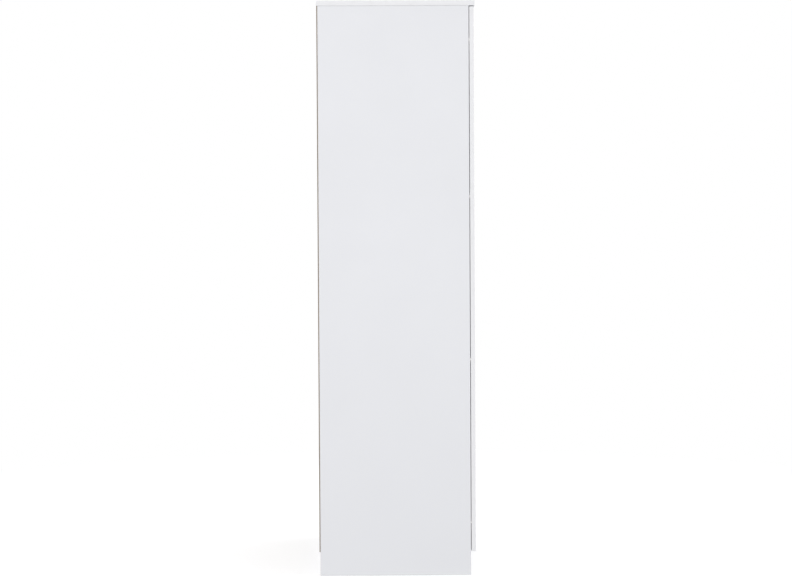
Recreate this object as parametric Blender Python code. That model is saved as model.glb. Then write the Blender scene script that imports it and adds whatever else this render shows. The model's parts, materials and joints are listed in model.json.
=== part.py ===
"""Two-door wardrobe in coated board: a carcass under an overhanging top, full-overlay doors on cup hinges.

Metres, +Z up. The doors face -Y, and "left" is -X, as seen by a person who stands in front of the doors.
The origin is on the floor, under the centre of the top panel.
"""

import math

import bmesh
import bpy
from mathutils import Vector

# Driving dimensions of the whole piece
WIDTH = 0.800
DEPTH = 0.550
HEIGHT = 2.000
GAP = 0.0003  # left between pieces that touch

# Boards
TOP_THICKNESS = 0.018
BOARD_THICKNESS = 0.015
BACK_THICKNESS = 0.003
EDGE_ROUNDING = 0.0008
EDGE_STEPS = 2
PLINTH_HEIGHT = 0.080
PLINTH_SETBACK = 0.004
TOP_RAIL_HEIGHT = 0.060
SHELF_LEVEL = 1.660

# Doors
DOOR_THICKNESS = 0.015
DOOR_BEHIND_TOP = 0.0035  # how far the top panel overhangs the doors
DOOR_TO_CARCASS = 0.002
DOOR_UNDER_TOP = 0.003
DOOR_BOTTOM = 0.082
DOOR_INSET = 0.001  # from the outer face of the side panel
DOOR_SPACING = 0.003  # between the two doors
GRIP_LEVEL = 1.050
GRIP_HEIGHT = 0.110
GRIP_DEPTH = 0.022  # cut out of each door's free edge, from the middle of the wardrobe
GRIP_CORNER_RADIUS = 0.019
GRIP_CORNER_STEPS = 8

# Back sheets and the strip that joins them
STRIP_LIP = 0.0007
STRIP_HALF_WIDTH = 0.012
STRIP_WEB = 0.0008
BACK_BOTTOM = 0.083

# Hanging rail
RAIL_LEVEL = 1.600
RAIL_RADIUS = 0.0125
RAIL_WALL = 0.001
SOCKET_BASE = 0.003
SOCKET_BASE_RADIUS = 0.024
SOCKET_COLLAR_RADIUS = 0.0155
SOCKET_COLLAR_DEPTH = 0.012

# Shelf pins
PIN_RADIUS = 0.0025
PIN_REACH = 0.009
PIN_BURIED = 0.008
PIN_FROM_EDGE = 0.060

# Cup hinges. A hinge is drawn in a plan (u, v): u runs inwards from the outer face of its side panel,
# and v runs to the back from the front edge of that panel.
HINGE_LEVELS = (0.180, 0.750, 1.320, 1.865)
DOOR_AXIS_PLAN = (0.006, -0.0125)
LINK_AXIS_PLAN = (0.020, -0.005)
CUP_CENTRE_U = 0.0235
CUP_BORE_RADIUS = 0.0175
CUP_BORE_DEPTH = 0.012
CUP_WALL = 0.001
CUP_RADIUS = CUP_BORE_RADIUS - GAP
CUP_DEPTH = 0.0115
FLANGE_RADIUS = 0.0195
FLANGE_THICKNESS = 0.001
EAR_U = (0.0265, 0.0395)
EAR_HALF_LENGTH = 0.031
EAR_CORNER_RADIUS = 0.0052
ARM_BACK_V = 0.060
ARM_WEB_U = 0.0255
ARM_SHEET = 0.0015
ARM_HALF_WIDTH = 0.008
ARM_OPEN_U = 0.0178
ARM_WEB_FRONT_V = 0.0015
ARM_NOSE_RADIUS = 0.0032
PLATE_THICKNESS = 0.002
PLATE_V = (0.028, 0.046)
PLATE_HALF_LENGTH = 0.022
PLATE_CORNER_RADIUS = 0.003
SPINE_V = (0.022, 0.058)
SPINE_U = 0.022
SPINE_HALF_WIDTH = 0.0060
LINK_HALF_WIDTH = 0.0050
LINK_SHEET = 0.0020
LINK_EYE_RADIUS = 0.0026
RIVET_RADIUS = 0.00125
RIVET_HOLE_RADIUS = 0.00155
LINK_BENDS = ((0.0060, 0.0034), (0.0150, 0.0026), (0.0166, -0.0044))  # from the link's rivet

# Buffers
BUFFER_RADIUS = 0.004
BUFFER_FROM_FREE_EDGE = 0.030

# How finely round shapes are drawn
ROUND_STEPS = 40
SMALL_ROUND_STEPS = 20
CORNER_STEPS = 5  # a quarter turn
SMOOTH_ANGLE = math.radians(35)
MERGE_DISTANCE = 1e-5
CUT_CLEARANCE = 0.002  # how far a cutter runs past the face that it opens

# Places that follow from the sizes above
SIDE_TOP = HEIGHT - TOP_THICKNESS
INNER_X = WIDTH / 2 - BOARD_THICKNESS
TOP_FRONT_Y = -DEPTH / 2
DOOR_FRONT_Y = TOP_FRONT_Y + DOOR_BEHIND_TOP
DOOR_REAR_Y = DOOR_FRONT_Y + DOOR_THICKNESS
CARCASS_FRONT_Y = DOOR_REAR_Y + DOOR_TO_CARCASS
REAR_Y = DEPTH / 2
BACK_REAR_Y = REAR_Y - STRIP_LIP - GAP
BACK_FRONT_Y = BACK_REAR_Y - BACK_THICKNESS
CARCASS_REAR_Y = BACK_FRONT_Y - GAP
STRIP_FRONT_Y = BACK_FRONT_Y - GAP - STRIP_LIP
DOOR_TOP = SIDE_TOP - DOOR_UNDER_TOP

LEFT, RIGHT = -1, 1
SIDE_NAMES = {LEFT: "left", RIGHT: "right"}


def clear_scene():
    for thing in list(bpy.data.objects):
        bpy.data.objects.remove(thing, do_unlink=True)


def make_material(name, color, roughness, metallic=0.0):
    material = bpy.data.materials.new(name)
    material.use_nodes = True
    shader = material.node_tree.nodes["Principled BSDF"]
    shader.inputs["Base Color"].default_value = (*color, 1.0)
    shader.inputs["Roughness"].default_value = roughness
    shader.inputs["Metallic"].default_value = metallic
    material.diffuse_color = (*color, 1.0)
    return material


def make_object(name, mesh_data, material, axis=None):
    """Turn a bmesh in world places into an object; a moving piece hangs on its axis empty."""
    bmesh.ops.recalc_face_normals(mesh_data, faces=mesh_data.faces)
    if axis is not None:
        bmesh.ops.translate(mesh_data, verts=mesh_data.verts, vec=-axis.location)
    mesh = bpy.data.meshes.new(name)
    mesh_data.to_mesh(mesh)
    mesh_data.free()
    thing = bpy.data.objects.new(name, mesh)
    bpy.context.scene.collection.objects.link(thing)
    thing.parent = axis
    if material is not None:
        mesh.materials.append(material)
    return thing


def make_axis(name, place):
    axis = bpy.data.objects.new(name, None)
    axis.location = place
    bpy.context.scene.collection.objects.link(axis)
    return axis


def box_mesh(low, high):
    mesh_data = bmesh.new()
    bmesh.ops.create_cube(mesh_data, size=1.0)
    low, high = Vector(low), Vector(high)
    bmesh.ops.scale(mesh_data, vec=high - low, verts=mesh_data.verts)
    bmesh.ops.translate(mesh_data, vec=(low + high) / 2, verts=mesh_data.verts)
    return mesh_data


def prism_mesh(outline, axis, start, end):
    """Extrude a closed outline along X, Y or Z; its points are the other two coordinates, in XYZ order."""
    places = {
        "X": lambda a, b, along: (along, a, b),
        "Y": lambda a, b, along: (a, along, b),
        "Z": lambda a, b, along: (a, b, along),
    }
    place = places[axis]
    mesh_data = bmesh.new()
    face = mesh_data.faces.new([mesh_data.verts.new(place(a, b, start)) for a, b in outline])
    extruded = bmesh.ops.extrude_face_region(mesh_data, geom=[face])
    moved = [item for item in extruded["geom"] if isinstance(item, bmesh.types.BMVert)]
    bmesh.ops.translate(mesh_data, vec=place(0.0, 0.0, end - start), verts=moved)
    return mesh_data


def turned_mesh(profile, centre, direction, steps):
    """Turn (radius, height) points about a line; the outline closes on itself or on the line."""
    mesh_data = bmesh.new()
    turn = Vector((0, 0, 1)).rotation_difference(Vector(direction)).to_matrix()
    centre = Vector(centre)
    points = [mesh_data.verts.new(centre + turn @ Vector((radius, 0, height))) for radius, height in profile]
    closed = all(radius > 0 for radius, _ in profile)
    ends = points[1:] + points[:1] if closed else points[1:]
    edges = [mesh_data.edges.new(pair) for pair in zip(points, ends)]
    bmesh.ops.spin(
        mesh_data,
        geom=points + edges,
        cent=centre,
        axis=turn @ Vector((0, 0, 1)),
        angle=2 * math.pi,
        steps=steps,
        use_duplicate=False,
    )
    bmesh.ops.remove_doubles(mesh_data, verts=mesh_data.verts, dist=MERGE_DISTANCE)
    return mesh_data


def arc(centre, radius, first_degrees, last_degrees, steps):
    sweep = last_degrees - first_degrees
    angles = [math.radians(first_degrees + sweep * i / steps) for i in range(steps + 1)]
    return [(centre[0] + radius * math.cos(a), centre[1] + radius * math.sin(a)) for a in angles]


def circle(centre, radius, steps):
    return arc(centre, radius, 0, 360 * (steps - 1) / steps, steps - 1)


def rounded_rectangle(low, high, radius, steps):
    corners = (
        ((high[0] - radius, high[1] - radius), 0),
        ((low[0] + radius, high[1] - radius), 90),
        ((low[0] + radius, low[1] + radius), 180),
        ((high[0] - radius, low[1] + radius), 270),
    )
    outline = []
    for centre, first in corners:
        outline += arc(centre, radius, first, first + 90, steps)
    return outline


def ribbon(points, thickness):
    """The outline of a bent strip of sheet along a line of points."""
    left, right = [], []
    for i, point in enumerate(points):
        before = Vector(points[max(i - 1, 0)])
        after = Vector(points[min(i + 1, len(points) - 1)])
        along = (after - before).normalized()
        across = Vector((-along.y, along.x)) * thickness / 2
        left.append(tuple(Vector(point) + across))
        right.append(tuple(Vector(point) - across))
    return left + right[::-1]


def shade_round(thing):
    thing.data.shade_smooth()
    thing.data.set_sharp_from_angle(angle=SMOOTH_ANGLE)
    return thing


def combine(thing, mesh_data, operation, name):
    """Cut a helper shape from a piece, or unite the two; the helper itself stays out of the model."""
    helper = make_object(name, mesh_data, None)
    helper.hide_render = True
    helper.display_type = "WIRE"
    modifier = thing.modifiers.new(name, "BOOLEAN")
    modifier.operation = operation
    modifier.object = helper


def round_edges(thing):
    rounding = thing.modifiers.new("edge_rounding", "BEVEL")
    rounding.width = EDGE_ROUNDING
    rounding.segments = EDGE_STEPS


def board(name, low, high, material):
    thing = make_object(name, box_mesh(low, high), material)
    round_edges(thing)
    return thing


def plan_point(side, u, v):
    return (side * (WIDTH / 2 - u), CARCASS_FRONT_Y + v)


def make_side_panel(side, materials):
    name = SIDE_NAMES[side] + "_side_panel"
    outer, inner = side * WIDTH / 2, side * INNER_X
    low = (min(outer, inner), CARCASS_FRONT_Y, 0.0)
    high = (max(outer, inner), CARCASS_REAR_Y, SIDE_TOP - GAP)
    panel = board(name, low, high, materials["board"])
    for place, y in pin_rows().items():
        hole = prism_mesh(
            circle((y, pin_level()), PIN_RADIUS + GAP, SMALL_ROUND_STEPS),
            "X",
            side * (INNER_X - GAP),
            side * (INNER_X + PIN_BURIED + GAP),
        )
        combine(panel, hole, "DIFFERENCE", f"{name}_{place}_pin_hole")


def pin_rows():
    return {"front": CARCASS_FRONT_Y + PIN_FROM_EDGE, "back": CARCASS_REAR_Y - PIN_FROM_EDGE}


def pin_level():
    return SHELF_LEVEL - GAP - PIN_RADIUS


def make_shelf_pins(side, materials):
    for place, y in pin_rows().items():
        pin = prism_mesh(
            circle((y, pin_level()), PIN_RADIUS, SMALL_ROUND_STEPS),
            "X",
            side * (INNER_X - PIN_REACH),
            side * (INNER_X + PIN_BURIED),
        )
        shade_round(make_object(f"{SIDE_NAMES[side]}_{place}_shelf_pin", pin, materials["steel"]))


def make_carcass(materials):
    span = INNER_X - GAP
    coated = materials["board"]
    board("top_panel", (-WIDTH / 2, TOP_FRONT_Y, SIDE_TOP), (WIDTH / 2, REAR_Y, HEIGHT), coated)
    for side in (LEFT, RIGHT):
        make_side_panel(side, materials)
        make_shelf_pins(side, materials)
    board(
        "bottom_panel",
        (-span, CARCASS_FRONT_Y, PLINTH_HEIGHT),
        (span, CARCASS_REAR_Y, PLINTH_HEIGHT + BOARD_THICKNESS),
        coated,
    )
    plinth_front = CARCASS_FRONT_Y + PLINTH_SETBACK
    plinth_top = PLINTH_HEIGHT - GAP
    plinth_rear = CARCASS_REAR_Y - BOARD_THICKNESS
    board(
        "front_plinth",
        (-span, plinth_front, 0),
        (span, plinth_front + BOARD_THICKNESS, plinth_top),
        coated,
    )
    board("rear_plinth", (-span, plinth_rear, 0), (span, CARCASS_REAR_Y, plinth_top), coated)
    board(
        "top_rail",
        (-span, CARCASS_FRONT_Y, SIDE_TOP - GAP - TOP_RAIL_HEIGHT),
        (span, CARCASS_FRONT_Y + BOARD_THICKNESS, SIDE_TOP - GAP),
        coated,
    )
    board(
        "hat_shelf",
        (-span, CARCASS_FRONT_Y + BOARD_THICKNESS + GAP, SHELF_LEVEL),
        (span, STRIP_FRONT_Y - GAP, SHELF_LEVEL + BOARD_THICKNESS),
        coated,
    )


def make_back(materials):
    half_web = STRIP_WEB / 2
    for side in (LEFT, RIGHT):
        near, far = side * (half_web + GAP), side * (WIDTH / 2 - GAP)
        low = (min(near, far), BACK_FRONT_Y, BACK_BOTTOM)
        high = (max(near, far), BACK_REAR_Y, SIDE_TOP - GAP)
        make_object(SIDE_NAMES[side] + "_back_panel", box_mesh(low, high), materials["hardboard"])
    outline = [
        (-STRIP_HALF_WIDTH, STRIP_FRONT_Y),
        (STRIP_HALF_WIDTH, STRIP_FRONT_Y),
        (STRIP_HALF_WIDTH, STRIP_FRONT_Y + STRIP_LIP),
        (half_web, STRIP_FRONT_Y + STRIP_LIP),
        (half_web, REAR_Y - STRIP_LIP),
        (STRIP_HALF_WIDTH, REAR_Y - STRIP_LIP),
        (STRIP_HALF_WIDTH, REAR_Y),
        (-STRIP_HALF_WIDTH, REAR_Y),
        (-STRIP_HALF_WIDTH, REAR_Y - STRIP_LIP),
        (-half_web, REAR_Y - STRIP_LIP),
        (-half_web, STRIP_FRONT_Y + STRIP_LIP),
        (-STRIP_HALF_WIDTH, STRIP_FRONT_Y + STRIP_LIP),
    ]
    bottom = PLINTH_HEIGHT + BOARD_THICKNESS + GAP
    strip = prism_mesh(outline, "Z", bottom, SIDE_TOP - GAP)
    make_object("back_joint_strip", strip, materials["plastic"])


def make_hanging_rail(materials):
    half_length = INNER_X - GAP - SOCKET_BASE - GAP
    inner = RAIL_RADIUS - RAIL_WALL
    start, end = -half_length, half_length
    profile = [(inner, start), (RAIL_RADIUS, start), (RAIL_RADIUS, end), (inner, end)]
    rail = turned_mesh(profile, (0, 0, RAIL_LEVEL), (1, 0, 0), ROUND_STEPS)
    shade_round(make_object("hanging_rail", rail, materials["chrome"]))
    collar_top = SOCKET_BASE + SOCKET_COLLAR_DEPTH
    profile = [
        (0, 0),
        (SOCKET_BASE_RADIUS, 0),
        (SOCKET_BASE_RADIUS, SOCKET_BASE),
        (SOCKET_COLLAR_RADIUS, SOCKET_BASE),
        (SOCKET_COLLAR_RADIUS, collar_top),
        (RAIL_RADIUS + GAP, collar_top),
        (RAIL_RADIUS + GAP, SOCKET_BASE),
        (0, SOCKET_BASE),
    ]
    for side in (LEFT, RIGHT):
        socket = turned_mesh(profile, (side * (INNER_X - GAP), 0, RAIL_LEVEL), (-side, 0, 0), ROUND_STEPS)
        shade_round(make_object(SIDE_NAMES[side] + "_rail_socket", socket, materials["chrome"]))


def make_door(side, axis, materials):
    name = SIDE_NAMES[side] + "_door"
    outer, free = side * (WIDTH / 2 - DOOR_INSET), side * DOOR_SPACING / 2
    low = (min(outer, free), DOOR_FRONT_Y, DOOR_BOTTOM)
    high = (max(outer, free), DOOR_REAR_Y, DOOR_TOP)
    door = make_object(name, box_mesh(low, high), materials["board"], axis)
    low = (-GRIP_DEPTH, GRIP_LEVEL - GRIP_HEIGHT / 2)
    high = (GRIP_DEPTH, GRIP_LEVEL + GRIP_HEIGHT / 2)
    outline = rounded_rectangle(low, high, GRIP_CORNER_RADIUS, GRIP_CORNER_STEPS)
    grip = prism_mesh(outline, "Y", DOOR_FRONT_Y - CUT_CLEARANCE, DOOR_REAR_Y + CUT_CLEARANCE)
    combine(door, grip, "DIFFERENCE", f"{name}_grip_cutout")
    round_edges(door)

    for number, level in enumerate(HINGE_LEVELS, 1):
        centre_x, _ = plan_point(side, CUP_CENTRE_U, 0)
        bore = prism_mesh(
            circle((centre_x, level), CUP_BORE_RADIUS, ROUND_STEPS),
            "Y",
            DOOR_REAR_Y - CUP_BORE_DEPTH,
            DOOR_REAR_Y + GAP,
        )
        combine(door, bore, "DIFFERENCE", f"{name}_cup_bore_{number}")


def make_buffers(side, axis, materials):
    levels = {
        "lower": (DOOR_BOTTOM + PLINTH_HEIGHT + BOARD_THICKNESS) / 2,
        "upper": SIDE_TOP - TOP_RAIL_HEIGHT / 2,
    }
    thickness = DOOR_TO_CARCASS - 2 * GAP
    rim, crown = BUFFER_RADIUS, BUFFER_RADIUS / 2
    profile = [(0, 0), (rim, 0), (rim, thickness / 2), (crown, thickness), (0, thickness)]
    for place, level in levels.items():
        centre = (side * BUFFER_FROM_FREE_EDGE, DOOR_REAR_Y + GAP, level)
        buffer = turned_mesh(profile, centre, (0, 1, 0), SMALL_ROUND_STEPS)
        shade_round(make_object(f"{SIDE_NAMES[side]}_{place}_buffer", buffer, materials["buffer"], axis))


def flange_outline(side, centre_x, level):
    """The rim of a hinge cup: a disc with two ears, off the cup's centre and above and below it."""
    near, far = (u - CUP_CENTRE_U for u in EAR_U)
    near_angle = math.degrees(math.acos(near / FLANGE_RADIUS))
    far_angle = math.degrees(math.acos(far / FLANGE_RADIUS))
    tip = EAR_HALF_LENGTH - EAR_CORNER_RADIUS
    upper_ear = arc((far - EAR_CORNER_RADIUS, tip), EAR_CORNER_RADIUS, 0, 90, CORNER_STEPS)
    upper_ear += arc((near + EAR_CORNER_RADIUS, tip), EAR_CORNER_RADIUS, 90, 180, CORNER_STEPS)
    lower_ear = [(u, -z) for u, z in reversed(upper_ear)]
    outline = arc((0, 0), FLANGE_RADIUS, -far_angle, far_angle, CORNER_STEPS)
    outline += upper_ear
    outline += arc((0, 0), FLANGE_RADIUS, near_angle, 360 - near_angle, ROUND_STEPS // 2)
    outline += lower_ear
    return [(centre_x - side * u, level + z) for u, z in outline]


def make_hinge_cup(side, number, level, axis, materials):
    name = f"{SIDE_NAMES[side]}_hinge_cup_{number}"
    centre = (plan_point(side, CUP_CENTRE_U, 0)[0], level)
    flange_start = DOOR_REAR_Y + GAP
    flange_end = flange_start + FLANGE_THICKNESS
    bottom = DOOR_REAR_Y - CUP_DEPTH
    flange = prism_mesh(flange_outline(side, *centre), "Y", flange_start, flange_end)
    cup = shade_round(make_object(name, flange, materials["steel"], axis))
    outside = circle(centre, CUP_RADIUS, ROUND_STEPS)
    body = prism_mesh(outside, "Y", bottom, flange_start + FLANGE_THICKNESS / 2)
    combine(cup, body, "UNION", name + "_body")
    inside = circle(centre, CUP_RADIUS - CUP_WALL, ROUND_STEPS)
    hollow = prism_mesh(inside, "Y", bottom + CUP_WALL, flange_end + CUT_CLEARANCE)
    combine(cup, hollow, "DIFFERENCE", name + "_hollow")


def make_hinge_arm(side, number, level, materials):
    """A folded channel, open towards the side panel; its cheeks end in a nose with the rivet's hole."""
    name = f"{SIDE_NAMES[side]}_hinge_arm_{number}"
    rivet_u, rivet_v = LINK_AXIS_PLAN
    nose = arc(LINK_AXIS_PLAN, ARM_NOSE_RADIUS, 0, -180, 2 * CORNER_STEPS)
    cheek = nose + [
        (rivet_u - ARM_NOSE_RADIUS, ARM_WEB_FRONT_V),
        (ARM_OPEN_U, ARM_WEB_FRONT_V + ARM_SHEET),
        (ARM_OPEN_U, ARM_BACK_V),
        (ARM_WEB_U, ARM_BACK_V),
        (ARM_WEB_U, ARM_WEB_FRONT_V),
    ]
    outline = [plan_point(side, u, v) for u, v in cheek]
    arm = make_object(
        name, prism_mesh(outline, "Z", level - ARM_HALF_WIDTH, level + ARM_HALF_WIDTH), materials["steel"]
    )
    shade_round(arm)
    inside = ARM_HALF_WIDTH - ARM_SHEET
    channel = [
        (rivet_u - 2 * ARM_NOSE_RADIUS, rivet_v - 2 * ARM_NOSE_RADIUS),
        (ARM_WEB_U + ARM_SHEET, rivet_v - 2 * ARM_NOSE_RADIUS),
        (ARM_WEB_U + ARM_SHEET, ARM_WEB_FRONT_V + ARM_SHEET),
        (ARM_WEB_U - ARM_SHEET, ARM_WEB_FRONT_V + ARM_SHEET),
        (ARM_WEB_U - ARM_SHEET, ARM_BACK_V + ARM_SHEET),
        (rivet_u - 2 * ARM_NOSE_RADIUS, ARM_BACK_V + ARM_SHEET),
    ]
    outline = [plan_point(side, u, v) for u, v in channel]
    combine(arm, prism_mesh(outline, "Z", level - inside, level + inside), "DIFFERENCE", name + "_channel")
    hole = prism_mesh(
        circle(plan_point(side, rivet_u, rivet_v), RIVET_HOLE_RADIUS, SMALL_ROUND_STEPS),
        "Z",
        level - ARM_HALF_WIDTH - ARM_SHEET,
        level + ARM_HALF_WIDTH + ARM_SHEET,
    )
    combine(arm, hole, "DIFFERENCE", name + "_rivet_hole")


def make_hinge_plate(side, number, level, materials):
    name = f"{SIDE_NAMES[side]}_hinge_plate_{number}"
    foot_u = BOARD_THICKNESS + GAP
    corners = [plan_point(side, foot_u, PLATE_V[0]), plan_point(side, foot_u + PLATE_THICKNESS, PLATE_V[1])]
    low_x, high_x = sorted(corner[0] for corner in corners)
    low, high = (corners[0][1], level - PLATE_HALF_LENGTH), (corners[1][1], level + PLATE_HALF_LENGTH)
    outline = rounded_rectangle(low, high, PLATE_CORNER_RADIUS, CORNER_STEPS)
    plate = make_object(name, prism_mesh(outline, "X", low_x, high_x), materials["steel"])
    corners = [plan_point(side, foot_u, SPINE_V[0]), plan_point(side, SPINE_U, SPINE_V[1])]
    low_x, high_x = sorted(corner[0] for corner in corners)
    spine = box_mesh(
        (low_x, corners[0][1], level - SPINE_HALF_WIDTH), (high_x, corners[1][1], level + SPINE_HALF_WIDTH)
    )
    combine(plate, spine, "UNION", name + "_spine")


def make_hinge_link(side, number, level, axis, materials):
    """A bent strap with its rivet; its far end works loose inside the cup."""
    name = f"{SIDE_NAMES[side]}_hinge_link_{number}"
    rivet_u, rivet_v = LINK_AXIS_PLAN
    bends = [LINK_AXIS_PLAN] + [(rivet_u + u, rivet_v + v) for u, v in LINK_BENDS]
    strap = ribbon([plan_point(side, u, v) for u, v in bends], LINK_SHEET)
    low_z, high_z = level - LINK_HALF_WIDTH, level + LINK_HALF_WIDTH
    link = make_object(name, prism_mesh(strap, "Z", low_z, high_z), materials["steel"], axis)
    centre = plan_point(side, rivet_u, rivet_v)
    eye = prism_mesh(circle(centre, LINK_EYE_RADIUS, SMALL_ROUND_STEPS), "Z", low_z, high_z)
    combine(link, eye, "UNION", name + "_eye")
    rivet = prism_mesh(
        circle(centre, RIVET_RADIUS, SMALL_ROUND_STEPS), "Z", level - ARM_HALF_WIDTH, level + ARM_HALF_WIDTH
    )
    combine(link, rivet, "UNION", name + "_rivet")


def make_leaf(side, materials):
    """One door with everything that carries it."""
    door_axis = make_axis(SIDE_NAMES[side] + "_door_axis", (*plan_point(side, *DOOR_AXIS_PLAN), 0))
    link_axis = make_axis(SIDE_NAMES[side] + "_link_axis", (*plan_point(side, *LINK_AXIS_PLAN), 0))
    make_door(side, door_axis, materials)
    make_buffers(side, door_axis, materials)
    for number, level in enumerate(HINGE_LEVELS, 1):
        make_hinge_cup(side, number, level, door_axis, materials)
        make_hinge_arm(side, number, level, materials)
        make_hinge_plate(side, number, level, materials)
        make_hinge_link(side, number, level, link_axis, materials)


def main():
    clear_scene()
    materials = {
        "board": make_material("white_board", (0.80, 0.81, 0.83), 0.45),
        "hardboard": make_material("hardboard", (0.42, 0.33, 0.25), 0.75),
        "plastic": make_material("white_plastic", (0.78, 0.78, 0.77), 0.40),
        "chrome": make_material("chrome", (0.75, 0.75, 0.76), 0.12, 1.0),
        "steel": make_material("nickel_plated_steel", (0.62, 0.61, 0.59), 0.28, 1.0),
        "buffer": make_material("clear_buffer", (0.70, 0.72, 0.72), 0.35),
    }
    make_carcass(materials)
    make_back(materials)
    make_hanging_rail(materials)
    for side in (LEFT, RIGHT):
        make_leaf(side, materials)
    bpy.context.view_layer.update()


main()
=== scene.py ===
import json
import math

import bmesh
import bpy
from mathutils import Matrix, Vector

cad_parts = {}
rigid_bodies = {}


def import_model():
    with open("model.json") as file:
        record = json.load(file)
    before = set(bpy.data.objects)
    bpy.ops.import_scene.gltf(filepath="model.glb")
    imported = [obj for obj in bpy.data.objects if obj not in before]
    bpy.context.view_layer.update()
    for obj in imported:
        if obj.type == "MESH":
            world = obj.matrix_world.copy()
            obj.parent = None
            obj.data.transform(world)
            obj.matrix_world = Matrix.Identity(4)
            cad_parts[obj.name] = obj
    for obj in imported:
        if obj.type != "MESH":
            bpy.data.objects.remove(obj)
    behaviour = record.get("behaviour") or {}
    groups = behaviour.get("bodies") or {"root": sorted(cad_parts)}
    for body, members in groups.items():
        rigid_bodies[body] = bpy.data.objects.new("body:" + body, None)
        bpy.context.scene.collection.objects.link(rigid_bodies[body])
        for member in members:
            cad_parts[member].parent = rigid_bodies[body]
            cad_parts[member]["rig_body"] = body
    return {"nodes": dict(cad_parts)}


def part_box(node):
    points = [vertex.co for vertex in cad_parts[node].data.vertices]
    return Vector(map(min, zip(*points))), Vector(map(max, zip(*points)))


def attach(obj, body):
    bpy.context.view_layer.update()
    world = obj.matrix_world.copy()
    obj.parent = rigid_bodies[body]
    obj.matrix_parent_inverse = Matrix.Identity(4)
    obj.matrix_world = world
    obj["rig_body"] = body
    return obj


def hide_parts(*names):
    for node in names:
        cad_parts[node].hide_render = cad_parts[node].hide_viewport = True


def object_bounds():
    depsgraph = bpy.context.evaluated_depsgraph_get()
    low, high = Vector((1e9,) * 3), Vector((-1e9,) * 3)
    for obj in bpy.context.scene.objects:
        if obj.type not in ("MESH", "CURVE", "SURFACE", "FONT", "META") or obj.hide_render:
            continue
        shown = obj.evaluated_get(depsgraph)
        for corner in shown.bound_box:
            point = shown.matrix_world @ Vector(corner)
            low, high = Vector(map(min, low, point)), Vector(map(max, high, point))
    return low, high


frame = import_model()
cad_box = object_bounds()

# Everything is in metres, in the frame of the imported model: +Z up, the doors face -Y, and left is -X.
LEFT, RIGHT = -1, 1
SIDE_NAMES = {LEFT: "left", RIGHT: "right"}
HINGES = (1, 2, 3, 4)
ROWS = ("front", "back")  # of shelf pins and shelf holes
SMOOTH_ANGLE = math.radians(35)  # faces that meet at less than this are shaded as one round face
FLAT_ANGLE = math.radians(0.5)  # faces that meet at less than this are one flat face
FACES = 0.6  # a surface faces along an axis when its normal's share of that axis is over this
MERGE = 1e-6

# The axis along which each board is thin: 0 is X, 1 is Y, 2 is Z
BOARD_AXES = {
    "top_panel": 2,
    "bottom_panel": 2,
    "hat_shelf": 2,
    "left_side_panel": 0,
    "right_side_panel": 0,
    "front_plinth": 1,
    "rear_plinth": 1,
    "top_rail": 1,
    "left_door": 1,
    "right_door": 1,
}
BARE_AT_THE_BACK = ("left_side_panel", "right_side_panel", "hat_shelf", "bottom_panel")
BARE_UNDERNEATH = ("left_side_panel", "right_side_panel", "front_plinth", "rear_plinth")

# Colours, linear
FOIL = (0.800, 0.806, 0.828)
EDGE_BAND = (0.835, 0.836, 0.848)
CHIP_LIGHT = (0.50, 0.36, 0.21)
CHIP_DARK = (0.20, 0.12, 0.06)
FIBRE_LIGHT = (0.305, 0.240, 0.180)
FIBRE_DARK = (0.182, 0.139, 0.102)
PLASTIC = (0.78, 0.785, 0.79)
SILICONE = (0.80, 0.82, 0.82)
GLUE_LINE = (0.50, 0.48, 0.45)
RUBBED = (0.62, 0.60, 0.57)
WHITE = (1.0, 1.0, 1.0)
BLACK = (0.0, 0.0, 0.0)

# Colour, lowest and highest roughness, scale of the scratches, and brightness of the dull patches
METALS = {
    "nickel_plate": ((0.66, 0.64, 0.61), 0.17, 0.28, 900.0, 0.92),
    "zinc_plate": ((0.58, 0.60, 0.63), 0.22, 0.36, 900.0, 0.92),
    "chrome_plate": ((0.66, 0.66, 0.67), 0.06, 0.12, 350.0, 0.95),
}

# Marks along a board's edges, measured on its face
GLUE_FROM_EDGE = 0.0014
GLUE_HALF_WIDTH = 0.00015
RUB_WIDTH = 0.0022


# ------------------------------------------------------------------------------------------ materials


class Graph:
    """A node tree, with short calls for the nodes that the materials and the world share."""

    def __init__(self, tree):
        self.nodes = tree.nodes
        self.links = tree.links

    def put(self, value, socket):
        if isinstance(value, bpy.types.NodeSocket):
            self.links.new(value, socket)
        elif isinstance(value, tuple) and socket.type == "RGBA":
            socket.default_value = (*value, 1.0)
        else:
            socket.default_value = value

    def node(self, kind, inputs=(), **settings):
        """Add a node, set its own settings, then fill its inputs, given by name or by number."""
        node = self.nodes.new(kind)
        for name, value in settings.items():
            setattr(node, name, value)
        for key, value in dict(inputs).items():
            self.put(value, node.inputs[key])
        return node

    def math(self, operation, a, b=0.0, c=0.0):
        return self.node("ShaderNodeMath", {0: a, 1: b, 2: c}, operation=operation).outputs[0]

    def mix_color(self, factor, a, b):
        return self.node("ShaderNodeMix", {0: factor, 6: a, 7: b}, data_type="RGBA").outputs[2]

    def mix_value(self, factor, a, b):
        return self.node("ShaderNodeMix", {0: factor, 2: a, 3: b}, data_type="FLOAT").outputs[0]

    def remap(self, value, low, high, to_low=0.0, to_high=1.0):
        inputs = {0: value, 1: low, 2: high, 3: to_low, 4: to_high}
        return self.node("ShaderNodeMapRange", inputs).outputs[0]


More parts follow.
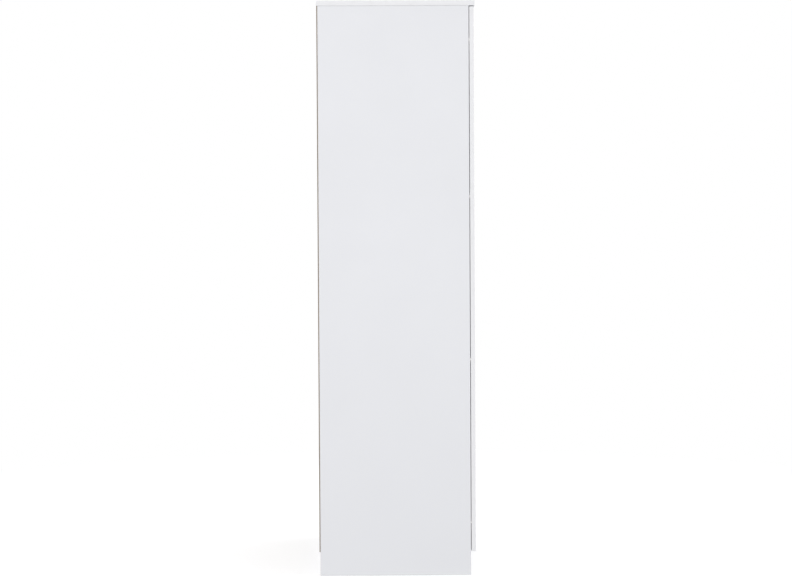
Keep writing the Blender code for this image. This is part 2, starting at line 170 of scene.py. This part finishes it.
class Shader(Graph):
    """One material: its node tree, its Principled shader, and textures measured in metres."""

    def __init__(self, name):
        self.material = bpy.data.materials.new(name)
        self.material.use_nodes = True
        super().__init__(self.material.node_tree)
        self.surface = self.nodes["Principled BSDF"]
        self.coordinates = self.node("ShaderNodeTexCoord")
        self.place = self.coordinates.outputs["Object"]

    def set(self, name, value):
        self.put(value, self.surface.inputs[name])

    def stretched(self, scale):
        return self.node("ShaderNodeMapping", {"Vector": self.place, "Scale": scale}).outputs[0]

    def noise(self, scale, detail=3.0, roughness=0.5, vector=None):
        inputs = {"Vector": vector or self.place, "Scale": scale, "Detail": detail, "Roughness": roughness}
        return self.node("ShaderNodeTexNoise", inputs).outputs[0]

    def cells(self, scale):
        return self.node("ShaderNodeTexVoronoi", {"Vector": self.place, "Scale": scale}).outputs["Distance"]

    def part(self, vector, axis):
        return self.node("ShaderNodeSeparateXYZ", {0: vector}).outputs[axis]

    def facing(self, axis):
        """How far the surface faces along the piece's own X, Y or Z, from -1 to 1."""
        return self.part(self.coordinates.outputs["Normal"], axis)

    def bump(self, height, strength, distance):
        inputs = {"Height": height, "Strength": strength, "Distance": distance}
        self.set("Normal", self.node("ShaderNodeBump", inputs).outputs[0])


def distance_to_rim(s, low, high, thin_axis):
    """How far a point on a board's face is from the nearest edge of that face."""
    nearest = None
    for axis in range(3):
        if axis == thin_axis:
            continue
        place = s.part(s.place, axis)
        for gap in (s.math("SUBTRACT", place, low[axis]), s.math("SUBTRACT", high[axis], place)):
            nearest = gap if nearest is None else s.math("MINIMUM", nearest, gap)
    return nearest


def bare_board_mask(s, node):
    """1 where an edge has no band, so that the board's core shows; None where every edge has one."""
    mask = None
    if node in BARE_AT_THE_BACK:
        mask = s.math("GREATER_THAN", s.facing(1), FACES)
    if node in BARE_UNDERNEATH:
        under = s.math("LESS_THAN", s.facing(2), -FACES)
        mask = under if mask is None else s.math("MAXIMUM", mask, under)
    return mask


def particle_color(s):
    tone = s.remap(s.noise(420.0, 5.0, 0.7), 0.35, 0.65)
    wood = s.mix_color(tone, CHIP_DARK, CHIP_LIGHT)
    return s.mix_color(s.remap(s.cells(700.0), 0.1, 0.8, 0.0, 0.45), wood, CHIP_LIGHT)


def board_material(node):
    """Satin foil on the faces, a band with its glue line at the edges, and faintly rubbed corners."""
    s = Shader("board_" + node)
    thin_axis = BOARD_AXES[node]
    low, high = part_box(node)
    edge = s.math("LESS_THAN", s.math("ABSOLUTE", s.facing(thin_axis)), FACES)
    face = s.math("SUBTRACT", 1.0, edge)

    cloud = s.remap(s.noise(3.5), 0.3, 0.7)
    foil = s.mix_color(cloud, tuple(0.988 * c for c in FOIL), FOIL)
    streaks = s.remap(s.noise(260.0, 2.0), 0.35, 0.65)
    band = s.mix_color(streaks, tuple(0.985 * c for c in EDGE_BAND), EDGE_BAND)
    color = s.mix_color(edge, foil, band)

    rim = distance_to_rim(s, low, high, thin_axis)
    glue = s.math("MULTIPLY", s.math("COMPARE", rim, GLUE_FROM_EDGE, GLUE_HALF_WIDTH), face)
    color = s.mix_color(s.math("MULTIPLY", glue, 0.12), color, GLUE_LINE)
    patches = s.remap(s.noise(38.0, 4.0), 0.52, 0.68)
    rub = s.math("MULTIPLY", s.remap(rim, 0.0, RUB_WIDTH, 1.0, 0.0), patches)
    color = s.mix_color(s.math("MULTIPLY", rub, 0.06), color, RUBBED)

    satin = s.remap(s.noise(9.0, 4.0, 0.6), 0.3, 0.7, 0.40, 0.47)
    roughness = s.math("ADD", satin, s.math("MULTIPLY", rub, 0.12))
    height = s.noise(1400.0, 2.0)
    bare = bare_board_mask(s, node)
    if bare is not None:
        color = s.mix_color(bare, color, particle_color(s))
        roughness = s.mix_value(bare, roughness, 0.85)
        height = s.mix_value(bare, height, s.math("MULTIPLY", s.noise(500.0, 4.0), 4.0))
    s.set("Base Color", color)
    s.set("Roughness", roughness)
    s.set("Specular IOR Level", 0.42)
    s.bump(height, 0.06, 0.00015)
    return s.material


def hardboard_material():
    """Brown pressed fibre, with white foil on the face that looks into the wardrobe."""
    s = Shader("hardboard")
    fibres = s.noise(320.0, 5.0, 0.65, s.stretched((1.0, 1.0, 0.3)))
    clouds = s.remap(s.noise(5.0, 3.0), 0.3, 0.7, 0.35, 0.65)
    tone = s.math("ADD", clouds, s.remap(fibres, 0.3, 0.7, -0.35, 0.35))
    brown = s.mix_color(tone, FIBRE_DARK, FIBRE_LIGHT)
    flecks = s.remap(s.noise(1100.0, 2.0), 0.58, 0.72)
    brown = s.mix_color(s.math("MULTIPLY", flecks, 0.4), brown, CHIP_LIGHT)
    inner = s.math("LESS_THAN", s.facing(1), -FACES)
    s.set("Base Color", s.mix_color(inner, brown, FOIL))
    s.set("Roughness", s.mix_value(inner, s.remap(fibres, 0.3, 0.7, 0.50, 0.72), 0.5))
    s.bump(s.noise(650.0, 3.0), 0.10, 0.0002)
    return s.material


def plastic_material():
    s = Shader("white_plastic")
    drawn = s.noise(160.0, 2.0, vector=s.stretched((1.0, 1.0, 0.02)))
    s.set("Base Color", s.mix_color(s.remap(drawn, 0.3, 0.7), tuple(0.96 * c for c in PLASTIC), PLASTIC))
    s.set("Roughness", s.remap(s.noise(30.0), 0.3, 0.7, 0.30, 0.40))
    s.bump(drawn, 0.08, 0.0002)
    return s.material


def metal_material(name, color, rough_low, rough_high, grain, worn):
    """Plated metal with fine scratches along its height, and a duller tone in patches."""
    s = Shader(name)
    dull = s.remap(s.noise(45.0, 4.0), 0.42, 0.68)
    scratches = s.noise(grain, 2.0, vector=s.stretched((1.0, 1.0, 0.08)))
    s.set("Base Color", s.mix_color(dull, color, tuple(worn * c for c in color)))
    s.set("Metallic", 1.0)
    s.set("Roughness", s.remap(scratches, 0.3, 0.7, rough_low, rough_high))
    s.bump(scratches, 0.05, 0.00005)
    return s.material


def buffer_material():
    s = Shader("clear_buffer")
    haze = s.remap(s.noise(700.0, 2.0), 0.3, 0.7)
    s.set("Base Color", s.mix_color(haze, SILICONE, tuple(0.93 * c for c in SILICONE)))
    s.set("Roughness", s.remap(haze, 0.0, 1.0, 0.22, 0.34))
    s.set("Transmission Weight", 0.55)
    s.set("IOR", 1.41)
    s.bump(haze, 0.05, 0.00005)
    return s.material


def paint(thing, material):
    thing.data.materials.clear()
    thing.data.materials.append(material)


def paint_cad_nodes(nickel):
    """Every CAD piece gets a material, also those that a finished copy replaces later."""
    hardboard = hardboard_material()
    plastic = plastic_material()
    clear = buffer_material()
    for name, node in frame["nodes"].items():
        if name in BOARD_AXES:
            paint(node, board_material(name))
        elif name.endswith("back_panel"):
            paint(node, hardboard)
        elif name == "back_joint_strip":
            paint(node, plastic)
        elif name.endswith("buffer"):
            paint(node, clear)
        else:
            paint(node, nickel)


# --------------------------------------------------------------------------------------- mesh helpers


def turned(profile, steps):
    """A closed form turned about Z from (radius, height) points, which start and end on the axis."""
    shape = bmesh.new()
    points = [shape.verts.new((radius, 0.0, height)) for radius, height in profile]
    edges = [shape.edges.new(pair) for pair in zip(points, points[1:])]
    bmesh.ops.spin(
        shape,
        geom=points + edges,
        cent=(0, 0, 0),
        axis=(0, 0, 1),
        angle=2 * math.pi,
        steps=steps,
        use_duplicate=False,
    )
    bmesh.ops.remove_doubles(shape, verts=shape.verts, dist=MERGE)
    bmesh.ops.recalc_face_normals(shape, faces=shape.faces)
    return shape


def extruded(outline, travel):
    """A closed prism: a flat outline, given as points, carried along the travel."""
    shape = bmesh.new()
    face = shape.faces.new([shape.verts.new(point) for point in outline])
    moved = bmesh.ops.extrude_face_region(shape, geom=[face])["geom"]
    tips = [item for item in moved if isinstance(item, bmesh.types.BMVert)]
    bmesh.ops.translate(shape, vec=travel, verts=tips)
    bmesh.ops.recalc_face_normals(shape, faces=shape.faces)
    return shape


def cross_prism(arm, half_width, low, high):
    """A plus-shaped prism about Z, with arms of that length."""
    w = half_width
    corners = [(arm, -w), (arm, w), (w, w), (w, arm), (-w, arm), (-w, w)]
    corners += [(-x, -y) for x, y in corners]
    return extruded([(x, y, low) for x, y in corners], (0, 0, high - low))


def add_shape(shape, other):
    """Copy the other shape into this one, and free it."""
    mesh = bpy.data.meshes.new("part")
    other.to_mesh(mesh)
    other.free()
    shape.from_mesh(mesh)
    bpy.data.meshes.remove(mesh)


def new_object(name, shape):
    mesh = bpy.data.meshes.new(name)
    shape.to_mesh(mesh)
    shape.free()
    thing = bpy.data.objects.new(name, mesh)
    bpy.context.scene.collection.objects.link(thing)
    return thing


def cut(thing, cutter):
    """Cut the helper's shape out of the thing for good, and delete the helper."""
    modifier = thing.modifiers.new(cutter.name, "BOOLEAN")
    modifier.operation = "DIFFERENCE"
    modifier.object = cutter
    bpy.context.view_layer.update()
    graph = bpy.context.evaluated_depsgraph_get()
    result = bpy.data.meshes.new_from_object(thing.evaluated_get(graph))
    shape = bmesh.new()
    shape.from_mesh(result)
    bmesh.ops.dissolve_degenerate(shape, dist=MERGE, edges=shape.edges)
    shape.to_mesh(result)
    shape.free()
    thing.modifiers.clear()
    thing.data = result
    bpy.data.objects.remove(cutter)
    return thing


def join_piece(thing, body, material):
    paint(thing, material)
    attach(thing, body)


def finish_piece(thing, body, material):
    thing.data.shade_smooth()
    thing.data.set_sharp_from_angle(angle=SMOOTH_ANGLE)
    join_piece(thing, body, material)


def take_mesh(thing):
    """The thing's mesh, to be copied; the thing itself goes."""
    mesh = thing.data
    bpy.data.objects.remove(thing)
    return mesh


def scatter(name, mesh, spots, body, material):
    """One piece made of copies of a mesh; each spot is a place and the way that the copy's Z points."""
    merged = bmesh.new()
    for number, (place, direction) in enumerate(spots):
        turn = Vector((0, 0, 1)).rotation_difference(Vector(direction)).to_matrix().to_4x4()
        spin = Matrix.Rotation(number * HEAD_TURN, 4, "Z")
        before = len(merged.verts)
        merged.from_mesh(mesh)
        merged.verts.ensure_lookup_table()
        added = merged.verts[before:]
        bmesh.ops.transform(merged, matrix=Matrix.Translation(place) @ turn @ spin, verts=added)
    finish_piece(new_object(name, merged), body, material)


# ---------------------------------------------------------------------------------- heads and fittings

HEAD_SINK = 0.0003  # how far a head's foot reaches into the face that it stands on
HEAD_TURN = 0.7  # radians from one head's recess to the next one's

# Radius, height, and how far each arm of the cross recess reaches
FLAT_SCREW = (0.0036, 0.0006, 0.0024)
PAN_SCREW = (0.0038, 0.0013, 0.0022)
SMALL_SCREW = (0.0032, 0.0009, 0.0020)
CAM = (0.0075, 0.0006, 0.0042)

# A screw's rim and the floor of its recess are shares of its height, and half the recess's width is a
# share of its reach
SCREW_STEPS = 24
SCREW_RIM = 0.35
SCREW_DOME_DEGREES = (25, 45, 65)
SCREW_SLOT = 0.28
SCREW_RECESS_FLOOR = 0.15

# The same for a cam, whose raised rim slopes down to a dish between two shares of its radius
CAM_STEPS = 32
CAM_SLOPE = (0.90, 0.86)
CAM_DISH = 0.4
CAM_SLOT = 0.22
CAM_RECESS_FLOOR = -0.5


def foot(radius):
    return [(0.0, -HEAD_SINK), (radius, -HEAD_SINK)]


def screw_mesh(radius, height, reach):
    """A low domed head with a cross recess, which stands on Z = 0."""
    rim = height * SCREW_RIM
    dome = []
    for angle in map(math.radians, SCREW_DOME_DEGREES):
        dome.append((radius * math.cos(angle), rim + (height - rim) * math.sin(angle)))
    profile = foot(radius) + [(radius, rim)] + dome + [(0.0, height)]
    head = new_object("screw_head", turned(profile, SCREW_STEPS))
    recess = cross_prism(reach, reach * SCREW_SLOT, height * SCREW_RECESS_FLOOR, height * 2)
    return take_mesh(cut(head, new_object("screw_recess", recess)))


def cam_mesh(radius, height, reach):
    """The face of a cam fitting: a flat disc with a raised rim and a cross recess."""
    outer, inner = (radius * share for share in CAM_SLOPE)
    dish = height * CAM_DISH
    profile = foot(radius) + [(radius, height), (outer, height), (inner, dish), (0.0, dish)]
    disc = new_object("cam_disc", turned(profile, CAM_STEPS))
    recess = cross_prism(reach, reach * CAM_SLOT, height * CAM_RECESS_FLOOR, height * 2)
    return take_mesh(cut(disc, new_object("cam_recess", recess)))


EAR_SCREW_OFFSET = 0.0095  # from the cup's centre towards the middle of the door
EAR_SCREW_SPACING = 0.048
PLATE_WING = 0.002  # the plate's own thickness beside its spine
PLATE_SCREW_SPACING = 0.032
PLATE_SCREW_BEFORE_MIDDLE = 0.003
ARM_SCREWS = (0.016, 0.047)  # from the arm's rear end
SOCKET_SCREW_RADIUS = 0.0198
SOCKET_PLATE = 0.003


def middle(low, high):
    return (low + high) / 2


def outer_face(side, low, high):
    """The X of the box's face that looks out of the wardrobe on that side."""
    return low.x if side == LEFT else high.x


def inner_face(side, low, high):
    return high.x if side == LEFT else low.x


def ear_screw_spots(side):
    for number in HINGES:
        low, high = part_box(f"{SIDE_NAMES[side]}_hinge_cup_{number}")
        centre = middle(low, high)
        x = centre.x - side * EAR_SCREW_OFFSET
        for end in (-1, 1):
            yield Vector((x, high.y, centre.z + end * EAR_SCREW_SPACING / 2)), (0, 1, 0)


def plate_screw_spots(side):
    for number in HINGES:
        low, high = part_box(f"{SIDE_NAMES[side]}_hinge_plate_{number}")
        centre = middle(low, high)
        x = outer_face(side, low, high) - side * PLATE_WING
        y = centre.y - PLATE_SCREW_BEFORE_MIDDLE
        for end in (-1, 1):
            yield Vector((x, y, centre.z + end * PLATE_SCREW_SPACING / 2)), (-side, 0, 0)


def arm_screw_spots(side):
    for number in HINGES:
        low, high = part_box(f"{SIDE_NAMES[side]}_hinge_arm_{number}")
        for back in ARM_SCREWS:
            place = (inner_face(side, low, high), high.y - back, middle(low, high).z)
            yield Vector(place), (-side, 0, 0)


def socket_screw_spots(side):
    low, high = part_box(f"{SIDE_NAMES[side]}_rail_socket")
    centre = middle(low, high)
    x = outer_face(side, low, high) - side * SOCKET_PLATE
    for end in (-1, 1):
        yield Vector((x, centre.y, centre.z + end * SOCKET_SCREW_RADIUS)), (-side, 0, 0)


def make_screws(zinc):
    flat, pan, small = (screw_mesh(*sizes) for sizes in (FLAT_SCREW, PAN_SCREW, SMALL_SCREW))
    for side, name in SIDE_NAMES.items():
        groups = (
            ("cup", flat, ear_screw_spots, f"{name}_door_leaf", "hinge_steel"),
            ("plate", pan, plate_screw_spots, "carcass", "hinge_steel"),
            ("arm", small, arm_screw_spots, "carcass", "hinge_steel"),
            ("socket", small, socket_screw_spots, "carcass", "chrome"),
        )
        for kind, mesh, spots, body, slot in groups:
            scatter(f"{name}_{kind}_screws", mesh, spots(side), body, zinc)


# The bracket inside each hinge cup: a channel that stands on the cup's floor and flanks the link strap
BRACKET_SHEET = 0.0010
BRACKET_HALF_WIDTH = 0.0072
BRACKET_HEIGHT = 0.0082
BRACKET_FROM_CENTRE = (0.0060, 0.0140)  # from the cup's centre towards the middle of the door
BRACKET_EDGE = 0.0003
CUP_FLOOR = 0.0011  # the cup's own thickness and a little clearance
RIVET_RADIUS = 0.0017
RIVET_HEIGHT = 0.0005
RIVET_PLACE = 0.6  # of the bracket's height
RIVET_DOME_DEGREES = (30, 60)
RIVET_STEPS = 20


def rivet_shape():
    dome = []
    for angle in map(math.radians, RIVET_DOME_DEGREES):
        dome.append((RIVET_RADIUS * math.cos(angle), RIVET_HEIGHT * math.sin(angle)))
    foot_and_rim = [(0, -BRACKET_EDGE), (RIVET_RADIUS, -BRACKET_EDGE), (RIVET_RADIUS, 0)]
    return turned(foot_and_rim + dome + [(0, RIVET_HEIGHT)], RIVET_STEPS)


def bracket_shape():
    """The channel, open at the top, with its base on Z = 0 and its length along X."""
    outer, inner = BRACKET_HALF_WIDTH, BRACKET_HALF_WIDTH - BRACKET_SHEET
    top, floor = BRACKET_HEIGHT, BRACKET_SHEET
    right_half = [(outer, 0), (outer, top), (inner, top), (inner, floor)]
    outline = right_half + [(-y, z) for y, z in reversed(right_half)]
    start, end = BRACKET_FROM_CENTRE
    shape = extruded([(start, y, z) for y, z in outline], (end - start, 0, 0))
    edges = shape.edges[:]
    bmesh.ops.bevel(shape, geom=edges, offset=BRACKET_EDGE, segments=2, affect="EDGES", profile=0.5)
    for facing in (-1, 1):
        head = rivet_shape()
        turn = Matrix.Rotation(-facing * math.pi / 2, 4, "X")
        place = (middle(start, end), facing * BRACKET_HALF_WIDTH, BRACKET_HEIGHT * RIVET_PLACE)
        bmesh.ops.transform(head, matrix=Matrix.Translation(place) @ turn, verts=head.verts)
        add_shape(shape, head)
    return shape


def make_cup_brackets(side, nickel):
    """The brackets' X points to the middle of the door, their Y up the door, their Z out of the cup."""
    name = SIDE_NAMES[side]
    merged = bmesh.new()
    axes = Matrix(((-side, 0, 0), (0, 0, 1), (0, 1, 0))).to_4x4()
    for number in HINGES:
        low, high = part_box(f"{name}_hinge_cup_{number}")
        centre = middle(low, high)
        bracket = bracket_shape()
        if axes.determinant() < 0:
            bmesh.ops.reverse_faces(bracket, faces=bracket.faces)
        place = Matrix.Translation((centre.x, low.y + CUP_FLOOR, centre.z)) @ axes.transposed()
        bmesh.ops.transform(bracket, matrix=place, verts=bracket.verts)
        add_shape(merged, bracket)
    brackets = new_object(f"{name}_cup_brackets", merged)
    finish_piece(brackets, f"{name}_door_leaf", nickel)


CAM_FROM_EDGE = 0.034
CAM_INSET_Y = 0.060


def make_cams(zinc):
    """The faces of the cam fittings that hold the top panel and the top rail."""
    spots = []
    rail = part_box("top_rail")
    for side, name in SIDE_NAMES.items():
        low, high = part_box(f"{name}_side_panel")
        inner = inner_face(side, low, high)
        for y in (low.y + CAM_INSET_Y, high.y - CAM_INSET_Y):
            spots.append((Vector((inner, y, high.z - CAM_FROM_EDGE)), (-side, 0, 0)))
        x = outer_face(side, *rail) - side * CAM_FROM_EDGE
        spots.append((Vector((x, rail[1].y, middle(*rail).z)), (0, 1, 0)))
    scatter("cam_fittings", cam_mesh(*CAM), spots, "carcass", zinc)


NAIL_SPACING = 0.115
NAIL_FROM_EDGE = 0.0075
NAIL_UNDER_THE_TOP = 0.0150
NAIL_OVER_THE_FOOT = 0.0060
NAIL_STEPS = 16
NAIL_RADIUS = 0.0019
NAIL_RIM = 0.0002
NAIL_CROWN = ((0.0014, 0.00035), (0.0, 0.0004))
LOWER_NAIL_SPACING = 0.10925
LOWER_NAILS = 3


def nail_heights(low, high):
    count = round((high - low) / NAIL_SPACING)
    return [low + (high - low) * i / count for i in range(count + 1)]


def make_back_nails(zinc):
    """Flat nail heads along the back sheets' outer edges and their feet."""
    profile = foot(NAIL_RADIUS) + [(NAIL_RADIUS, NAIL_RIM), *NAIL_CROWN]
    mesh = take_mesh(new_object("nail_head", turned(profile, NAIL_STEPS)))
    spots = []
    for side, name in SIDE_NAMES.items():
        low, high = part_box(f"{name}_back_panel")
        x = outer_face(side, low, high) - side * NAIL_FROM_EDGE
        for z in nail_heights(low.z + NAIL_FROM_EDGE, high.z - NAIL_UNDER_THE_TOP):
            spots.append((Vector((x, high.y, z)), (0, 1, 0)))
        for i in range(1, LOWER_NAILS + 1):
            place = (x - side * i * LOWER_NAIL_SPACING, high.y, low.z + NAIL_OVER_THE_FOOT)
            spots.append((Vector(place), (0, 1, 0)))
    scatter("back_nails", mesh, spots, "carcass", zinc)


# ------------------------------------------------------------------------- side panels with drilled rows

HOLE_RADIUS = 0.0025
HOLE_DEPTH = 0.0115
HOLE_PITCH = 0.032
HOLES_EACH_WAY = 4
HOLE_SIDES = 20
HOLE_BAND = 0.020  # the width of the band of small faces that a row of holes lies in


def split_at(shape, place, direction):
    everything = shape.verts[:] + shape.edges[:] + shape.faces[:]
    bmesh.ops.bisect_plane(shape, geom=everything, plane_co=place, plane_no=direction, dist=MERGE)


def drilled_side_panel(side):
    """The side panel with its rows of shelf holes, above and below the shelf's own pins."""
    name = SIDE_NAMES[side]
    node = f"{name}_side_panel"
    x = inner_face(side, *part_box(node)) - side * HOLE_RADIUS
    shape = whole_faces(node)
    holes = bmesh.new()
    steps = range(-HOLES_EACH_WAY, HOLES_EACH_WAY + 1)
    for row in ROWS:
        pin = middle(*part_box(f"{name}_{row}_shelf_pin"))
        for end in (-HOLE_BAND / 2, HOLE_BAND / 2):
            split_at(shape, (0, pin.y + end, 0), (0, 1, 0))
        for step in steps:
            if step != 0:
                add_hole(holes, Vector((x, pin.y, pin.z + step * HOLE_PITCH)), side)
    shelf_level = middle(*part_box(f"{name}_{ROWS[0]}_shelf_pin")).z
    for step in (steps[0] - 1, *steps):
        split_at(shape, (0, 0, shelf_level + (step + 0.5) * HOLE_PITCH), (0, 0, 1))
    panel = new_object(f"{name}_side_drilled", shape)
    cut(panel, new_object(f"{name}_holes", holes))
    join_piece(panel, "carcass", board_material(node))
    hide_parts(node)


def add_hole(holes, place, side):
    """A round cutter that runs outwards from that place, which lies inside the wardrobe."""
    outline = []
    for i in range(HOLE_SIDES):
        angle = 2 * math.pi * i / HOLE_SIDES
        round_y, round_z = HOLE_RADIUS * math.cos(angle), HOLE_RADIUS * math.sin(angle)
        outline.append(place + Vector((0.0, round_y, round_z)))
    add_shape(holes, extruded(outline, (side * (HOLE_RADIUS + HOLE_DEPTH), 0, 0)))


# ---------------------------------------------------------------------------------- finished CAD pieces

# How far the sheet metal's edges are broken
EDGE_BREAKS = {
    "hinge_cup": 0.00015,
    "hinge_arm": 0.00025,
    "hinge_plate": 0.0003,
    "hinge_link": 0.00025,
}
PIN_EDGE_BREAK = 0.0003
SOCKET_EDGE_BREAK = 0.0004


def whole_faces(node):
    """A copy of a CAD piece's shape with its points merged and its flat faces in one piece each."""
    shape = bmesh.new()
    shape.from_mesh(frame["nodes"][node].data)
    bmesh.ops.remove_doubles(shape, verts=shape.verts, dist=MERGE)
    bmesh.ops.dissolve_limit(shape, angle_limit=FLAT_ANGLE, verts=shape.verts, edges=shape.edges)
    return shape


def finish_cad_piece(node, material, edge_break=0.0):
    """Replace a CAD piece by the same shape with smooth round faces and broken sharp edges."""
    thing = new_object(node + "_finished", whole_faces(node))
    if edge_break:
        breaks = thing.modifiers.new("edge_break", "BEVEL")
        breaks.width = edge_break
        breaks.segments = 2
        breaks.limit_method = "ANGLE"
        breaks.angle_limit = SMOOTH_ANGLE
        breaks.harden_normals = True
    finish_piece(thing, frame["nodes"][node]["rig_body"], material)
    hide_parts(node)


def finish_metal_pieces(nickel, chrome):
    for name in SIDE_NAMES.values():
        for kind, edge_break in EDGE_BREAKS.items():
            for number in HINGES:
                finish_cad_piece(f"{name}_{kind}_{number}", nickel, edge_break)
        for row in ROWS:
            finish_cad_piece(f"{name}_{row}_shelf_pin", nickel, PIN_EDGE_BREAK)
        finish_cad_piece(f"{name}_rail_socket", chrome, SOCKET_EDGE_BREAK)
    finish_cad_piece("hanging_rail", chrome)


# ------------------------------------------------------------------------------------- stage and lights

CAMERA_FROM_SIDE = 5.5
CAMERA_BEHIND_MIDDLE = 0.068
CAMERA_HEIGHT = 1.0966
CAMERA_YAW = -0.681  # degrees
CAMERA_PITCH = -0.978
CAMERA_ROLL = -0.308
CAMERA_LENS = 71.9
FLOOR_SIZE = 14.0
FLOOR_DROP = 0.00004  # below the feet, so that the two don't lie in one plane
FLOOR_FADE = (1.0, 3.2)  # from the middle of the wardrobe
FLOOR_DIFFUSE = 0.66
FLOOR_GLOW = 0.42
DOME_RADIUS = 30.0
LIGHT_TINT = (1.0, 1.002, 1.012)

# How strong the light from each side is
WORLD_LIGHT = {
    (-1, 0, 0): 0.69,
    (1, 0, 0): 0.60,
    (0, -1, 0): 0.66,
    (0, 1, 0): 0.60,
    (0, 0, 1): 1.10,
    (0, 0, -1): 0.28,
}

# Place, width in metres and power in watts
LAMPS = {
    "key": ((-6.2, 0.2, 1.9), 4.0, 115),
    "front": ((1.2, -5.4, 2.3), 3.2, 100),
    "right": ((5.4, 0.6, 2.6), 3.0, 60),
    "rear": ((-0.8, 5.4, 2.6), 3.0, 50),
}


def make_camera():
    """The camera looks at the left side of the wardrobe, so the doors are at the right of the picture."""
    yaw, pitch, roll = (math.radians(a) for a in (CAMERA_YAW, CAMERA_PITCH, CAMERA_ROLL))
    forward = Vector((math.cos(pitch) * math.cos(yaw), math.cos(pitch) * math.sin(yaw), math.sin(pitch)))
    level = Vector((math.sin(yaw), -math.cos(yaw), 0.0))
    upright = level.cross(forward)
    right = level * math.cos(roll) + upright * math.sin(roll)
    up = upright * math.cos(roll) - level * math.sin(roll)
    data = bpy.data.cameras.new("camera")
    data.lens = CAMERA_LENS
    data.clip_end = 2 * DOME_RADIUS
    camera = bpy.data.objects.new("camera", data)
    turn = Matrix((right, up, -forward)).transposed()
    place = Vector((cad_box[0].x - CAMERA_FROM_SIDE, CAMERA_BEHIND_MIDDLE, CAMERA_HEIGHT))
    camera.matrix_world = Matrix.Translation(place) @ turn.to_4x4()
    bpy.context.scene.collection.objects.link(camera)
    bpy.context.scene.camera = camera


def floor_material():
    """Pale matt floor, which shows soft shadows near the wardrobe and turns plain white further away."""
    s = Shader("pale_floor")
    from_middle = s.node("ShaderNodeVectorMath", {0: s.place}, operation="LENGTH").outputs["Value"]
    away = s.remap(from_middle, *FLOOR_FADE)
    grain = s.remap(s.noise(60.0, 4.0), 0.3, 0.7, FLOOR_DIFFUSE * 0.96, FLOOR_DIFFUSE)
    grey = s.node("ShaderNodeCombineXYZ", {0: grain, 1: grain, 2: grain}).outputs[0]
    s.set("Base Color", s.mix_color(away, grey, BLACK))
    s.set("Roughness", 1.0)
    s.set("Specular IOR Level", 0.0)
    s.set("Emission Color", WHITE)
    s.set("Emission Strength", s.mix_value(away, FLOOR_GLOW, 1.0))
    return s.material


def surround_material():
    s = Shader("white_surround")
    s.set("Base Color", BLACK)
    s.set("Specular IOR Level", 0.0)
    s.set("Emission Color", WHITE)
    s.set("Emission Strength", 1.0)
    return s.material


def make_stage():
    """A pale floor that catches a soft shadow, and a white surround; neither lights the wardrobe."""
    floor_shape = bmesh.new()
    bmesh.ops.create_grid(floor_shape, x_segments=1, y_segments=1, size=FLOOR_SIZE / 2)
    floor = new_object("floor", floor_shape)
    floor.location.z = cad_box[0].z - FLOOR_DROP
    paint(floor, floor_material())
    dome_shape = bmesh.new()
    bmesh.ops.create_icosphere(dome_shape, subdivisions=4, radius=DOME_RADIUS)
    dome = new_object("surround", dome_shape)
    paint(dome, surround_material())
    for thing in (floor, dome):
        thing.visible_diffuse = False
        thing.visible_glossy = False
        thing.visible_transmission = False
        thing.visible_shadow = False


def add_area_light(name, place, target, size, power):
    data = bpy.data.lights.new(name, "AREA")
    data.size = size
    data.energy = power
    data.color = LIGHT_TINT
    light = bpy.data.objects.new(name, data)
    light.location = place
    light.rotation_euler = (Vector(target) - Vector(place)).to_track_quat("-Z", "Y").to_euler()
    bpy.context.scene.collection.objects.link(light)


def make_world():
    """Soft light from all round, stronger from some sides, so that the faces differ in tone."""
    world = bpy.data.worlds.new("studio")
    world.use_nodes = True
    graph = Graph(world.node_tree)
    direction = graph.node("ShaderNodeTexCoord").outputs["Generated"]
    strength = 0.0
    for toward, amount in WORLD_LIGHT.items():
        vectors = {0: direction, 1: toward}
        dot = graph.node("ShaderNodeVectorMath", vectors, operation="DOT_PRODUCT").outputs["Value"]
        share = graph.math("POWER", graph.math("MAXIMUM", dot, 0.0), 2.0)
        strength = graph.math("MULTIPLY_ADD", share, amount, strength)
    background = graph.nodes["Background"]
    graph.put(LIGHT_TINT, background.inputs["Color"])
    graph.put(strength, background.inputs["Strength"])
    bpy.context.scene.world = world


def make_lights():
    make_world()
    centre = middle(*cad_box)
    for name, (place, size, power) in LAMPS.items():
        add_area_light(name, place, centre, size, power)


def main():
    bpy.context.scene.view_settings.view_transform = "Standard"
    make_camera()
    nickel, zinc, chrome = (metal_material(name, *look) for name, look in METALS.items())
    paint_cad_nodes(nickel)
    for side in SIDE_NAMES:
        drilled_side_panel(side)
    finish_metal_pieces(nickel, chrome)
    for side in SIDE_NAMES:
        make_cup_brackets(side, nickel)
    make_screws(zinc)
    make_cams(zinc)
    make_back_nails(zinc)
    make_stage()
    make_lights()


main()
